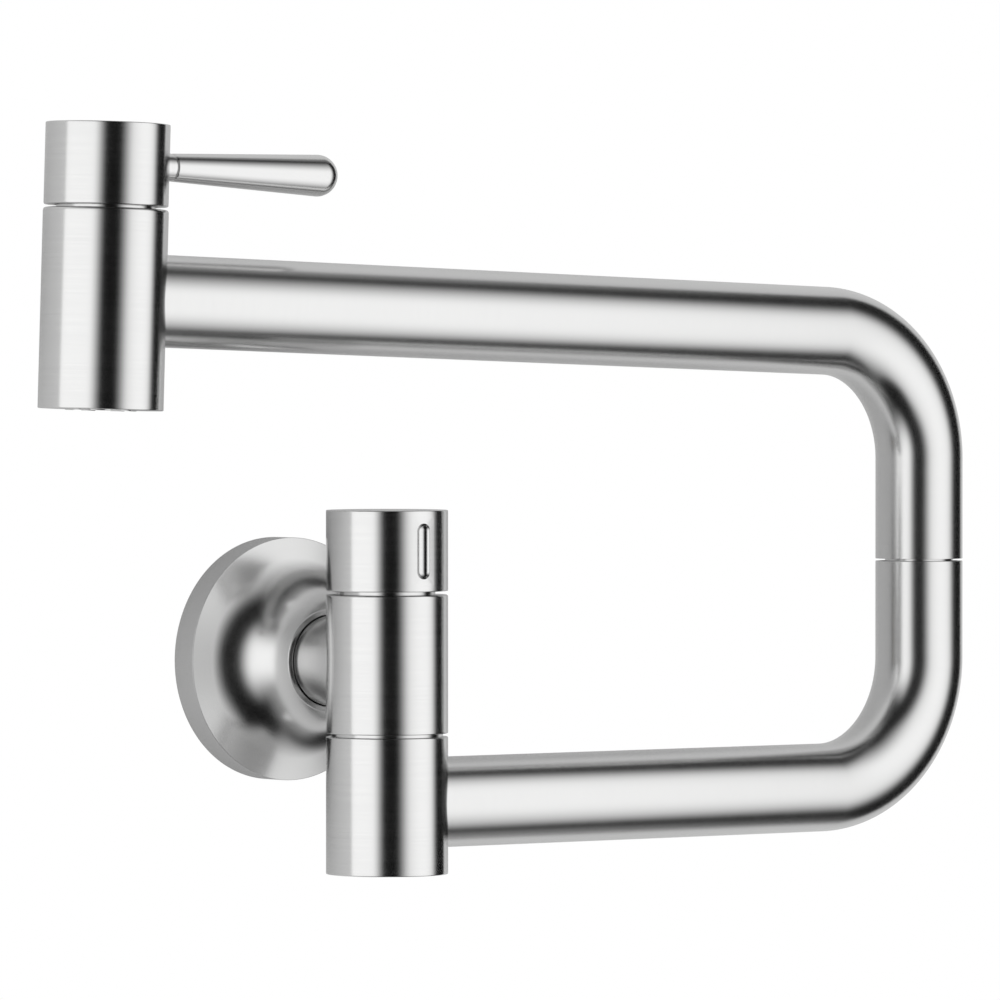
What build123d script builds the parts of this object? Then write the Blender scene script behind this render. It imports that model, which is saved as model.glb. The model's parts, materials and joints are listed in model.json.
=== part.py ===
from build123d import *
import os
from math import asin, atan2, cos, hypot, radians, sin, tan

# A wall-mounted pot filler: a shut-off valve on the wall, two folding arms and a second valve at the spout.
# Millimetres. The origin is on the wall, on the axis of the water inlet. X runs along the wall to the right,
# Y into the wall and Z up. Both arms are drawn folded, parallel to the wall, the upper over the lower.

# Reach of the arms
WALL_REACH = 63.0
LOWER_REACH = 227.9
UPPER_REACH = 341.6
RISE_DEG = 1.94

# Arm tubes
TUBE_D = 29.8
TUBE_WALL = 1.4
BEND_R = 43.7
RISER = 76.4
ARM_DROP = 46.1
ELBOW_GAP = 0.8

# Wall valve, its heights counted from the inlet axis, and its knob
BODY_D = 40.0
BODY_ABOVE = 22.5
BODY_BELOW = 22.9
KNOB_GAP = 1.2
KNOB_H = 26.5
GRIP_W = 5.3
GRIP_H = 18.2
GRIP_DEPTH = 1.9

# Swivel housing under the wall valve
SWIVEL_GAP = 1.1
SWIVEL_BELOW = 22.9
SEAM_STEP = 1.7
SHAFT_D = 25.0
GALLERY_WALL = 4.5
GALLERY_H = 19.0

# Spout valve, its heights counted from the axis of the upper arm, and its lever
SPOUT_D = 40.3
SPOUT_ABOVE = 28.6
SPOUT_BELOW = 35.5
CAP_GAP = 1.4
CAP_D = 40.0
CAP_H = 26.1
LEVER_JOINT = 25.1
LEVER_ROOT_D = 9.0
LEVER_BALL = 83.5
LEVER_BALL_D = 13.6

# Rosette, neck and wall fixing
ROSETTE_D = 80.6
ROSETTE_RIM = 10.0
ROSETTE_DEPTH = 31.6
ROSETTE_WALL = 1.8
LIP_WALL = 2.9
LIP_LENGTH = 4.6
LIP_ROUND = 1.4
CONE_DEG = 17.2
FLARE_R = 21.3
NECK_D = 29.8
INLET_THREAD_D = 20.96
INLET_LENGTH = 20.0
INLET_GRIP = 15.0
INLET_HEX = 27.0
INLET_HEX_H = 7.0
INLET_COLLAR_D = 24.0
FLANGE_D = 66.0
FLANGE_T = 4.0
SCREW_HOLE_D = 5.5
SCREW_CIRCLE_D = 50.0
SCREW_COUNT = 3

# Water ways, and the sockets that the neck and the arms are brazed into
PORT_D = 14.0
SOCKET_D = 18.0
SOCKET_WALL = 3.0
SEAT_BORE_D = 13.0

# Valve cartridges, heights counted from the axis of the side port
CART_THREAD_D = 20.9
CART_THREAD_H = 9.0
CART_BARREL_D = 17.6
CART_BARREL_WALL = 1.2
CART_HEX = 19.5
CART_HEX_H = 5.0
CART_NECK_H = 3.0
LEDGE_DEPTH = 2.5
CHAMBER_D = 22.0
CHAMBER_ABOVE = 8.0
CHAMBER_BELOW = 6.0
SEAT_DROP = 9.5
SEAL_T = 2.0
DISC_T = 3.0
SPINDLE_D = 9.0
SPINDLE_FLATS = 7.0
SPINDLE_COLLAR_H = 3.0
TONGUE_W = 2.6
TONGUE_H = 1.2

# Knob and lever cap, both hollow over a collar on the valve
COLLAR_STEP = 4.2
COLLAR_RISE = 6.0
SKIRT_GAP = 0.8
ROOF = 3.5
HUB_WALL = 4.0
GRUB_D = 5.0
GRUB_SINK = 1.2
STUD_D = 6.0
STUD_TIP_D = 4.0
LEVER_STUD_D = 5.0
LEVER_STUD_H = 12.0

# Elbow joint
SPIGOT_PLUG_H = 16.0
SLEEVE_H = 28.8
SLEEVE_WALL = 3.9
ELBOW_BORE_D = 11.0
WASHER_STEP = 1.8

# Seals and retaining rings
ORING_W = 2.4
CLIP_T = 1.2
CLIP_BITE = 1.2
CLIP_STAND = 2.0
THRUST_T = 1.2

# Aerator
AERATOR_D = 23.0
AERATOR_WALL = 1.6
AERATOR_H = 11.0
AERATOR_PROUD = 0.3
AERATOR_TEETH = 7
AERATOR_NOTCH_H = 1.3
AERATOR_TURN = 24.4
INSERT_T = 4.0
INSERT_RECESS = 1.6
INSERT_RINGS = 3
INSERT_HOLE_D = 2.2
INSERT_PITCH = 2.75

# Clearances between fixed pieces, turning pieces and turning faces, and the break on sharp edges
FIT = 0.05
RUN = 0.06
FACE = 0.05
EDGE = 0.4

# Levels and radii that follow from the sizes above
BODY_R = BODY_D / 2
TUBE_R = TUBE_D / 2
TUBE_BORE_R = TUBE_R - TUBE_WALL
SPOUT_R = SPOUT_D / 2
NECK_R = NECK_D / 2
COLLAR_BORE_R = CART_HEX / 3 ** 0.5 + FIT * 8
SPINDLE_R = SPINDLE_D / 2
KNOB_LOW = BODY_ABOVE + KNOB_GAP
KNOB_TOP = KNOB_LOW + KNOB_H
CAP_LOW = SPOUT_ABOVE + CAP_GAP
CAP_TOP = CAP_LOW + CAP_H
LEVER_LEVEL = (CAP_LOW + CAP_TOP) / 2
SWIVEL_TOP = -BODY_BELOW - SWIVEL_GAP
SWIVEL_LOW = -ARM_DROP - SWIVEL_BELOW
SEAM_LOW = RISER - ARM_DROP
SEAM_TOP = SEAM_LOW + ELBOW_GAP
UPPER_LEVEL = SEAM_TOP + RISER
SEAT = -SEAT_DROP
DISC_LOW = SEAT + SEAL_T
DISC_MEET = DISC_LOW + DISC_T
DISC_TOP = DISC_MEET + FACE + DISC_T
TURN_BORE_R = CART_BARREL_D / 2 - CART_BARREL_WALL
SPIGOT_TOP = SEAT - SOCKET_WALL

# Frames: the wall plane with its axis out into the room, the valve, the elbow and the tilted spout
WALL = Rot(90, 0, 0)
VALVE = Pos(0, -WALL_REACH, 0)
ELBOW = Pos(LOWER_REACH, -WALL_REACH, 0)
RISE = radians(RISE_DEG)
SPOUT = Pos(LOWER_REACH - UPPER_REACH * cos(RISE), -WALL_REACH, UPPER_LEVEL + UPPER_REACH * sin(RISE))
SPOUT = SPOUT * Rot(0, RISE_DEG, 0)


def rod(radius, low, high):
    """A cylinder about Z from one height to another."""
    return extrude(Pos(0, 0, low) * Circle(radius), amount=high - low)


def ring(outer, inner, low, high):
    """A plain ring about Z."""
    return extrude(Pos(0, 0, low) * (Circle(outer) - Circle(inner)), amount=high - low)


def turned(*corners):
    """A solid of revolution about Z, from (radius, height) corners."""
    return revolve(Plane.XZ * make_face(Polyline(*corners, close=True)), Axis.Z)


def hexagon(across, low, high):
    """A hexagonal bar about Z, given across its flats."""
    return extrude(Pos(0, 0, low) * RegularPolygon(across / 2, 6, major_radius=False), amount=high - low)


def double_d(radius, flats, low, high):
    """A round bar about Z with two flats, square to X."""
    bar = Box(flats, 2 * radius, high - low, align=(Align.CENTER, Align.CENTER, Align.MIN))
    return rod(radius, low, high) & Pos(0, 0, low) * bar


def along_x(solid):
    """Turn a solid about Z to lie along X, its heights becoming distances from the axis."""
    return Rot(0, 90, 0) * solid


def softened(solid, radius, *heights):
    """Round the rims of one radius at the given heights."""
    rims = [e for e in solid.edges().filter_by(GeomType.CIRCLE)
            if abs(e.radius - radius) < FIT and any(abs(e.center().Z - h) < FIT for h in heights)]
    return fillet(rims, EDGE)


def groove(shaft_radius, depth, low, high):
    """The cut for a groove round a shaft."""
    return ring(shaft_radius + depth, shaft_radius - depth, low, high)


def seal_groove(shaft_radius, level):
    """The cut that an O-ring lies in, a little wider than the ring."""
    half = ORING_W / 2 + FIT
    return groove(shaft_radius, ORING_W + FIT, level - half, level + half)


def seal(shaft_radius, level):
    """An O-ring that stands flush with its shaft."""
    return Pos(0, 0, level) * Torus(shaft_radius - ORING_W / 2, ORING_W / 2)


def valve_cavity(body_top):
    """The space for a cartridge: collar bore, thread, chamber, seat and the way down through it."""
    ledge = body_top - LEDGE_DEPTH
    space = rod(COLLAR_BORE_R, ledge, body_top + COLLAR_RISE + EDGE)
    space += rod(CART_THREAD_D / 2 + FIT, CHAMBER_ABOVE - FIT, ledge + FIT)
    space += rod(CHAMBER_D / 2, -CHAMBER_BELOW, CHAMBER_ABOVE)
    space += rod(CART_BARREL_D / 2 + FIT, SEAT, -CHAMBER_BELOW + FIT)
    return space + rod(SEAT_BORE_D / 2, SPIGOT_TOP - FIT, SEAT + FIT)


def side_port():
    """The socket and port in the side of a valve, along X."""
    floor = CHAMBER_D / 2 + SOCKET_WALL
    return along_x(rod(SOCKET_D / 2 + FIT, floor, BODY_D) + rod(PORT_D / 2, 0, floor + FIT))


def ported_disc(low, turn, radius):
    """A ceramic disc with two sector openings."""
    reach = radius * 2
    half = radians(40)
    wedge = make_face(Polyline((0, 0), (reach, -reach * tan(half)), (reach, reach * tan(half)), close=True))
    bow = Circle(radius * 0.8) - Circle(radius * 0.3)
    openings = bow & (wedge + Rot(0, 0, 180) * wedge)
    return extrude(Pos(0, 0, low) * Rot(0, 0, turn) * (Circle(radius) - openings), amount=DISC_T)


def cartridge(body_top, spindle_top):
    """The pieces of a quarter-turn ceramic valve, closed: barrel, seal, discs, spindle and O-ring."""
    ledge = body_top - LEDGE_DEPTH
    thread_low = ledge - CART_THREAD_H
    neck_top = ledge + CART_HEX_H + CART_NECK_H
    collar_low = thread_low + FIT
    collar_top = collar_low + SPINDLE_COLLAR_H
    seal_level = (collar_top + ledge) / 2 + CART_HEX_H
    barrel_r = CART_BARREL_D / 2

    barrel = rod(barrel_r, SEAT + FIT, ledge) + rod(CART_THREAD_D / 2, thread_low, ledge)
    barrel += hexagon(CART_HEX, ledge, ledge + CART_HEX_H) + rod(SPINDLE_R * 1.6, ledge, neck_top)
    barrel -= rod(TURN_BORE_R + FIT, SEAT, collar_top + FACE) + rod(SPINDLE_R + RUN, SEAT, neck_top + EDGE)
    window = Pos(0, 0, DISC_TOP) * Box(CHAMBER_D, TURN_BORE_R, CHAMBER_ABOVE - DISC_TOP,
                                       align=(Align.CENTER, Align.CENTER, Align.MIN))
    barrel -= window + Rot(0, 0, 90) * window

    tongue = Pos(0, 0, DISC_TOP - TONGUE_H) * Box(TURN_BORE_R * 1.7, TONGUE_W, TONGUE_H + EDGE,
                                                  align=(Align.CENTER, Align.CENTER, Align.MIN))
    slot = Pos(0, 0, DISC_TOP - TONGUE_H - FIT) * Box(TURN_BORE_R * 1.7 + FIT, TONGUE_W + 2 * FIT, DISC_T,
                                                      align=(Align.CENTER, Align.CENTER, Align.MIN))
    turning = ported_disc(DISC_MEET + FACE, 90, TURN_BORE_R - RUN) - slot
    spindle = rod(SPINDLE_R, DISC_TOP, neck_top + EDGE) + rod(TURN_BORE_R - RUN, collar_low, collar_top)
    spindle += double_d(SPINDLE_R, SPINDLE_FLATS, neck_top, spindle_top) + tongue
    spindle -= seal_groove(SPINDLE_R, seal_level)
    return {
        "cartridge": barrel,
        "seat_seal": ring(TURN_BORE_R, SEAT_BORE_D / 2, SEAT, DISC_LOW),
        "fixed_disc": ported_disc(DISC_LOW, 0, TURN_BORE_R),
        "turning_disc": turning,
        "spindle": spindle,
        "stem_oring": seal(SPINDLE_R, seal_level),
    }


def hollow_cap(radius, collar_radius, low, top, hub_low):
    """A turned cap: a skirt over the valve's collar, a roof and a hub that takes the spindle's flats."""
    roof = top - ROOF
    skirt_r = collar_radius + SKIRT_GAP
    hub_r = SPINDLE_R + HUB_WALL
    cap = softened(rod(radius, low, top), radius, low, top)
    cap -= rod(skirt_r, low, roof)
    cap += rod(hub_r, hub_low, roof)
    return cap - double_d(SPINDLE_R + FIT, SPINDLE_FLATS + 2 * FIT, hub_low, roof)


def arm_rod(radius, reach, riser, rise_deg):
    """A round bar up an elbow's axis, round a bend and out along an arm, with its corner at the origin."""
    turn = 90 - rise_deg
    bend = BEND_R * tan(radians(turn / 2))
    out = Vector(-cos(radians(rise_deg)), 0, sin(radians(rise_deg)))
    upright = rod(radius, -riser, -bend)
    curve = revolve(Pos(0, 0, -bend) * Circle(radius), Axis((-BEND_R, 0, -bend), (0, -1, 0)), turn)
    arm = extrude(Plane(out * bend, z_dir=out) * Circle(radius), amount=reach - bend)
    return upright + curve + arm


def arm_tube(reach, rise_deg):
    """A bent arm tube, still square at the end that meets its valve."""
    bore = arm_rod(TUBE_BORE_R, reach + EDGE, RISER + EDGE, rise_deg)
    return arm_rod(TUBE_R, reach, RISER, rise_deg) - bore


def arm_connector(start, body_radius):
    """The stepped sleeve along X that is brazed into a valve's socket and into the arm's bore."""
    step = body_radius + EDGE
    sleeve = rod(SOCKET_D / 2, start, step + FIT) + rod(TUBE_BORE_R - FIT, step, step + SOCKET_D)
    return along_x(sleeve - rod(PORT_D / 2, start, step + SOCKET_D))


def rosette_dome(inset):
    """The rosette's solid shape about Z: a rim, a low cone and a hollow arc that sweeps up into the lip."""
    cone = radians(CONE_DEG)
    centre = NECK_R + 6 * FIT + LIP_WALL + FLARE_R
    meet = centre - FLARE_R * sin(cone)
    level = ROSETTE_RIM + (ROSETTE_D / 2 - meet) * tan(cone) + FLARE_R * cos(cone)
    radius = FLARE_R + inset
    edge = ROSETTE_D / 2 - inset
    start = (centre - radius * sin(cone), level - radius * cos(cone))
    foot = (edge, start[1] - (edge - start[0]) * tan(cone))
    flare = JernArc(start, (-cos(cone), sin(cone)), radius, CONE_DEG - 90)
    tip = flare @ 1
    top = max(level, ROSETTE_DEPTH) + EDGE
    rest = Polyline(tip, (tip.X, top), (0, top), (0, 0), (edge, 0), foot, start)
    return revolve(Plane.XZ * make_face([flare, rest]), Axis.Z)


def wall_fixing():
    """Nipple into the supply, flange screwed to the wall, neck, and the rosette that covers them."""
    thread_r = INLET_THREAD_D / 2
    hex_top = FLANGE_T + INLET_HEX_H
    grip_top = hex_top + INLET_GRIP
    collar_r = INLET_COLLAR_D / 2
    nipple = rod(thread_r, -INLET_LENGTH, grip_top) + rod(collar_r, 0, FLANGE_T)
    nipple += hexagon(INLET_HEX, FLANGE_T, hex_top)
    nipple -= rod(PORT_D / 2, -INLET_LENGTH, grip_top)
    flange = extrude(Circle(FLANGE_D / 2) - Circle(collar_r + FIT)
                     - PolarLocations(SCREW_CIRCLE_D / 2, SCREW_COUNT, start_angle=90) * Circle(SCREW_HOLE_D / 2),
                     amount=FLANGE_T)
    gasket = ring(thread_r - FIT, PORT_D / 2, grip_top, grip_top + SEAL_T)

    lip_bore = NECK_R + 6 * FIT
    oring_level = ROSETTE_DEPTH - LIP_LENGTH / 2
    oring_r = ORING_W / 4
    inside = rosette_dome(ROSETTE_WALL) & rod(ROSETTE_D / 2 - ROSETTE_WALL, 0, ROSETTE_DEPTH - LIP_LENGTH)
    rosette = rosette_dome(0) & rod(ROSETTE_D, 0, ROSETTE_DEPTH)
    lip = rosette.edges().filter_by(GeomType.CIRCLE).sort_by(Axis.Z)[-1]
    rosette = fillet(lip, LIP_ROUND) - inside
    rosette -= rod(lip_bore, 0, ROSETTE_DEPTH + EDGE)
    rosette -= ring(NECK_R + 2 * oring_r + FIT, NECK_R, oring_level - oring_r - FIT, oring_level + oring_r + FIT)
    oring = Pos(0, 0, oring_level) * Torus(NECK_R + oring_r + FIT, oring_r)
    rim_seal = ring(ROSETTE_D / 2 - ROSETTE_WALL - FIT, FLANGE_D / 2 + FIT, 0, ROSETTE_WALL)

    neck = WALL * rod(NECK_R, hex_top, WALL_REACH) - VALVE * rod(BODY_R + FIT, -BODY_D, BODY_D)
    spigot_end = WALL_REACH - CHAMBER_D / 2 - SOCKET_WALL - FIT
    neck += WALL * rod(SOCKET_D / 2, WALL_REACH - BODY_R - NECK_R / 2, spigot_end)
    neck -= WALL * rod(thread_r + FIT, hex_top, grip_top + SEAL_T)
    neck -= WALL * rod(PORT_D / 2, grip_top, WALL_REACH)
    pieces = {
        "inlet_nipple": nipple, "mounting_flange": flange, "inlet_gasket": gasket,
        "rosette": rosette, "rosette_oring": oring, "rosette_seal": rim_seal,
    }
    return {name: WALL * piece for name, piece in pieces.items()} | {"inlet_neck": neck}


def wall_valve():
    """The valve body on the neck, the cartridge in it and the knob over it."""
    collar_r = BODY_R - COLLAR_STEP
    body = softened(rod(BODY_R, -BODY_BELOW, BODY_ABOVE), BODY_R, -BODY_BELOW, BODY_ABOVE)
    body += rod(collar_r, BODY_ABOVE - EDGE, BODY_ABOVE + COLLAR_RISE)
    to_wall = Rot(0, 0, 90)
    body -= valve_cavity(BODY_ABOVE) + to_wall * side_port()
    body -= rod(SHAFT_D / 2 - CLIP_STAND + FIT, -BODY_BELOW, SPIGOT_TOP)

    inner = cartridge(BODY_ABOVE, KNOB_TOP - ROOF - EDGE)
    hub_low = BODY_ABOVE - LEDGE_DEPTH + CART_HEX_H + CART_NECK_H + EDGE
    knob = to_wall * hollow_cap(BODY_R, collar_r, KNOB_LOW, KNOB_TOP, hub_low)
    knob_level = (KNOB_LOW + KNOB_TOP) / 2
    mill_r = (GRIP_W ** 2 / 4 + GRIP_DEPTH ** 2) / (2 * GRIP_DEPTH)
    mill_run = (GRIP_H - GRIP_W) / 2
    mill = rod(mill_r, -mill_run, mill_run) + Pos(0, 0, mill_run) * Sphere(mill_r)
    mill += Pos(0, 0, -mill_run) * Sphere(mill_r)
    knob -= Pos(0, GRIP_DEPTH - BODY_R - mill_r, knob_level) * mill
    screw_line = Pos(0, 0, knob_level) * to_wall
    knob -= screw_line * along_x(rod(GRUB_D / 2 + FIT, SPINDLE_FLATS / 2, BODY_D))
    screw_end = BODY_R - GRUB_SINK
    screw = rod(GRUB_D / 2, SPINDLE_FLATS / 2 + FIT, screw_end)
    screw -= hexagon(GRUB_D / 2, screw_end - GRUB_D / 2, screw_end)
    pieces = {"valve_body": body, "knob": knob, "knob_screw": screw_line * along_x(screw)}
    pieces |= {"shutoff_" + name: to_wall * piece for name, piece in inner.items()}
    return {name: VALVE * piece for name, piece in pieces.items()}


def swivel():
    """The fixed shaft under the valve and the housing that turns on it and carries the lower arm."""
    shaft_r = SHAFT_D / 2
    gallery_r = BODY_R - GALLERY_WALL
    gallery_top = -ARM_DROP + GALLERY_H / 2
    gallery_low = -ARM_DROP - GALLERY_H / 2
    upper_seal = (SWIVEL_TOP + gallery_top) / 2
    ledge = gallery_low - ORING_W * 2
    lower_seal = (gallery_low + ledge) / 2
    clip_top = ledge - FACE - THRUST_T
    clip_low = clip_top - CLIP_T
    shaft_end = clip_low - CLIP_T
    well_r = shaft_r + CLIP_STAND + CLIP_BITE

    shaft = turned((0, SPIGOT_TOP), (shaft_r - CLIP_STAND, SPIGOT_TOP), (shaft_r - CLIP_STAND, -BODY_BELOW),
                   (shaft_r, -BODY_BELOW), (shaft_r, shaft_end), (0, shaft_end))
    shaft -= rod(SEAT_BORE_D / 2, gallery_low, SPIGOT_TOP)
    port = Pos(0, 0, -ARM_DROP) * along_x(rod(PORT_D / 3, -SHAFT_D, SHAFT_D))
    shaft -= port + Rot(0, 0, 90) * port
    shaft -= groove(shaft_r, CLIP_BITE + FIT, clip_low - FIT, clip_top + FIT)
    shaft -= seal_groove(shaft_r, upper_seal) + seal_groove(shaft_r, lower_seal)

    housing = softened(rod(BODY_R, SWIVEL_LOW, SWIVEL_TOP), BODY_R, SWIVEL_LOW, SWIVEL_TOP)
    housing -= rod(shaft_r + RUN, SWIVEL_LOW, SWIVEL_TOP)
    housing -= rod(gallery_r, gallery_low, gallery_top) + rod(well_r + FIT, SWIVEL_LOW, ledge)
    socket = along_x(rod(SOCKET_D / 2 + FIT, shaft_r, BODY_D))
    housing -= Pos(0, 0, -ARM_DROP) * socket
    plug_top = shaft_end - THRUST_T
    pieces = {
        "swivel_shaft": shaft,
        "swivel_orings": Compound([seal(shaft_r, upper_seal), seal(shaft_r, lower_seal)]),
        "swivel_seam_ring": ring(BODY_R - SEAM_STEP, shaft_r + RUN, SWIVEL_TOP + FACE, -BODY_BELOW),
        "swivel_thrust_washer": ring(well_r - CLIP_BITE / 2, shaft_r + RUN, clip_top, ledge - FACE),
        "swivel_clip": ring(shaft_r + CLIP_STAND, shaft_r - CLIP_BITE, clip_low, clip_top),
        "swivel_housing": housing,
        "swivel_plug": rod(well_r, SWIVEL_LOW, plug_top),
        "lower_arm_connector": Pos(0, 0, -ARM_DROP) * arm_connector(gallery_r, BODY_R),
    }
    return {name: VALVE * piece for name, piece in pieces.items()}


def arms():
    """The two bent tubes and the swivel joint that carries the upper on the lower."""
    lower = ELBOW * Pos(0, 0, -ARM_DROP) * Rot(180, 0, 0) * arm_tube(LOWER_REACH, 0)
    lower -= VALVE * rod(BODY_R + FIT, SWIVEL_LOW - BODY_D, BODY_D)
    upper = ELBOW * Pos(0, 0, UPPER_LEVEL) * arm_tube(UPPER_REACH, RISE_DEG)
    upper -= SPOUT * rod(SPOUT_R + FIT, -SPOUT_D, SPOUT_D)

    bush_r = TUBE_BORE_R - FIT
    shaft_r = bush_r - SLEEVE_WALL - RUN
    sleeve_top = SEAM_TOP + SLEEVE_H
    clip_low = sleeve_top + FACE
    clip_top = clip_low + CLIP_T
    shaft_top = clip_top + CLIP_T
    seals = [SEAM_TOP + SLEEVE_H / 4, SEAM_TOP + SLEEVE_H * 3 / 4]
    spigot = rod(bush_r, SEAM_LOW - SPIGOT_PLUG_H, SEAM_LOW) + rod(shaft_r, SEAM_LOW - FIT, shaft_top)
    spigot -= rod(ELBOW_BORE_D / 2, SEAM_LOW - SPIGOT_PLUG_H, shaft_top)
    spigot -= groove(shaft_r, CLIP_BITE + FIT, clip_low - FIT, clip_top + FIT)
    for level in seals:
        spigot -= seal_groove(shaft_r, level)
    pieces = {
        "elbow_spigot": spigot,
        "elbow_orings": Compound([seal(shaft_r, level) for level in seals]),
        "elbow_washer": ring(bush_r - WASHER_STEP, shaft_r + FIT, SEAM_LOW, SEAM_TOP - FACE),
        "elbow_clip": ring(shaft_r + CLIP_STAND, shaft_r - CLIP_BITE, clip_low, clip_top),
        "elbow_sleeve": ring(bush_r, shaft_r + RUN, SEAM_TOP, sleeve_top),
    }
    pieces = {name: ELBOW * piece for name, piece in pieces.items()}
    return pieces | {"lower_arm_tube": lower, "upper_arm_tube": upper}


def aerator(body_low, top):
    """The threaded ring with a castellated mouth, its honeycomb and its seal."""
    low = body_low - AERATOR_PROUD
    outer = AERATOR_D / 2
    inner = outer - AERATOR_WALL
    tooth = 2 * outer * sin(radians(90 / AERATOR_TEETH))
    housing = ring(outer, inner, low, top - SEAL_T)
    notch = Box(AERATOR_D, tooth, AERATOR_NOTCH_H, align=(Align.MIN, Align.CENTER, Align.MIN))
    for turn in range(AERATOR_TEETH):
        housing -= Pos(0, 0, low) * Rot(0, 0, AERATOR_TURN + (turn + 0.5) * 360 / AERATOR_TEETH) * notch
    comb = Circle(inner - FIT) - RegularPolygon(INSERT_HOLE_D / 2, 6)
    for count in range(1, INSERT_RINGS + 1):
        comb -= PolarLocations(INSERT_PITCH * count, 6 * count) * RegularPolygon(INSERT_HOLE_D / 2, 6)
    return {
        "aerator_housing": housing,
        "aerator_insert": extrude(Pos(0, 0, low + INSERT_RECESS) * comb, amount=INSERT_T),
        "aerator_seal": ring(outer, SEAT_BORE_D / 2, top - SEAL_T, top),
    }


def spout_valve():
    """The valve at the end of the upper arm, with its aerator, lever cap and lever."""
    collar_r = SPOUT_R - COLLAR_STEP
    outlet_top = -SPOUT_BELOW - AERATOR_PROUD + AERATOR_H + SEAL_T
    body = softened(rod(SPOUT_R, -SPOUT_BELOW, SPOUT_ABOVE), SPOUT_R, -SPOUT_BELOW, SPOUT_ABOVE)
    body += rod(collar_r, SPOUT_ABOVE - EDGE, SPOUT_ABOVE + COLLAR_RISE)
    body -= valve_cavity(SPOUT_ABOVE) + side_port() + rod(SEAT_BORE_D / 2, outlet_top - FIT, SEAT)
    body -= rod(AERATOR_D / 2 + FIT, -SPOUT_BELOW, outlet_top)

    hub_low = SPOUT_ABOVE - LEDGE_DEPTH + CART_HEX_H + CART_NECK_H + EDGE
    cap = hollow_cap(CAP_D / 2, collar_r, CAP_LOW, CAP_TOP, hub_low)
    lever_line = Pos(0, 0, LEVER_LEVEL)
    cap -= lever_line * along_x(rod(STUD_D / 2 + FIT, SPINDLE_FLATS / 2, CAP_D))

    hub_r = SPINDLE_R + HUB_WALL
    root_r = LEVER_ROOT_D / 2
    stem = along_x(softened(rod(root_r, 0, LEVER_JOINT), root_r, LEVER_JOINT)) - rod(CAP_D / 2 + FIT, -CAP_D, CAP_D)
    stem += along_x(rod(STUD_D / 2, SPINDLE_R + EDGE, LEVER_JOINT - EDGE))
    stem += along_x(rod(STUD_TIP_D / 2, SPINDLE_FLATS / 2 + FIT, hub_r))
    stem += along_x(rod(LEVER_STUD_D / 2, hub_r, LEVER_JOINT + LEVER_STUD_H))

    length = LEVER_BALL - LEVER_JOINT
    ball_r = LEVER_BALL_D / 2
    taper = asin(ball_r / hypot(root_r, length)) - atan2(root_r, length)
    waist = (ball_r * cos(taper), LEVER_BALL - ball_r * sin(taper))
    side = Polyline((0, LEVER_JOINT), (root_r, LEVER_JOINT), waist)
    crest = (ball_r * cos(radians(45)), LEVER_BALL + ball_r * sin(radians(45)))
    nose = ThreePointArc(waist, crest, (0, LEVER_BALL + ball_r))
    spine = Line((0, LEVER_BALL + ball_r), (0, LEVER_JOINT))
    lever = revolve(Plane.XZ * make_face([side, nose, spine]), Axis.Z)
    lever = softened(lever, root_r, LEVER_JOINT)
    lever -= rod(LEVER_STUD_D / 2 + FIT, LEVER_JOINT, LEVER_JOINT + LEVER_STUD_H + EDGE)

    pieces = {
        "spout_body": body,
        "lever_cap": cap,
        "lever_stem": lever_line * stem,
        "lever": lever_line * along_x(lever),
        "upper_arm_connector": arm_connector(CHAMBER_D / 2 + SOCKET_WALL + FIT, SPOUT_R),
    }
    inner = cartridge(SPOUT_ABOVE, CAP_TOP - ROOF - EDGE)
    pieces |= {"spout_" + name: piece for name, piece in inner.items()}
    pieces |= aerator(-SPOUT_BELOW, outlet_top)
    return {name: SPOUT * piece for name, piece in pieces.items()}


os.makedirs("parts", exist_ok=True)
for group in (wall_fixing(), wall_valve(), swivel(), arms(), spout_valve()):
    for name, piece in group.items():
        export_step(piece, f"parts/{name}.step")
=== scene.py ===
import json

import bmesh
import bpy
import numpy as np
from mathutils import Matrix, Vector


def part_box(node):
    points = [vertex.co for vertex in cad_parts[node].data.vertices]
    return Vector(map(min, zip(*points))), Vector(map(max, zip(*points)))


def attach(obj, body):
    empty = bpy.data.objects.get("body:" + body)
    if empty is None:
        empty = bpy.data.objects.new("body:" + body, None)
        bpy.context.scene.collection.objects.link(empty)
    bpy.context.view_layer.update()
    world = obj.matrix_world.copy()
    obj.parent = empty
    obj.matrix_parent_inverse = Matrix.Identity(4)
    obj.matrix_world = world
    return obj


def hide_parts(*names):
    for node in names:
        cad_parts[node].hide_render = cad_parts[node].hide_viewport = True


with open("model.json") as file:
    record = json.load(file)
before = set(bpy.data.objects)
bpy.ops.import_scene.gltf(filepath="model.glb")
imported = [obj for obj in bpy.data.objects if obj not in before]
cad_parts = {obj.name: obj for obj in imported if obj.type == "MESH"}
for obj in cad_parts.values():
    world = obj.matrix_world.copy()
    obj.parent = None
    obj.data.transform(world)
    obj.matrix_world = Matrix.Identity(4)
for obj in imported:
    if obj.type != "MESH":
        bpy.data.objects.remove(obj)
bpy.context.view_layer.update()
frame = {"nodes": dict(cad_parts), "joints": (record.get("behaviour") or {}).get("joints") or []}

joints = {joint["name"]: joint for joint in frame["joints"]}

# Camera: a long lens some three metres out, level with the arms and looking to the right of square to the wall, so
# that the valves stand upright and both arms seem to run a little downhill.
yaw, pitch = np.radians([37.69, -0.994])
gaze = Vector((np.sin(yaw) * np.cos(pitch), np.cos(yaw) * np.cos(pitch), np.sin(pitch)))
lens = bpy.data.cameras.new("photo_camera")
lens.lens, lens.sensor_width, lens.clip_end = 337.93, 36, 50
camera = bpy.data.objects.new("photo_camera", lens)
camera.location = (-1.84895, -2.51662, 0.10675)
camera.rotation_euler = gaze.to_track_quat("-Z", "Y").to_euler()
bpy.context.scene.collection.objects.link(camera)
bpy.context.scene.camera = camera
bpy.context.scene.view_settings.view_transform = "Standard"

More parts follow.
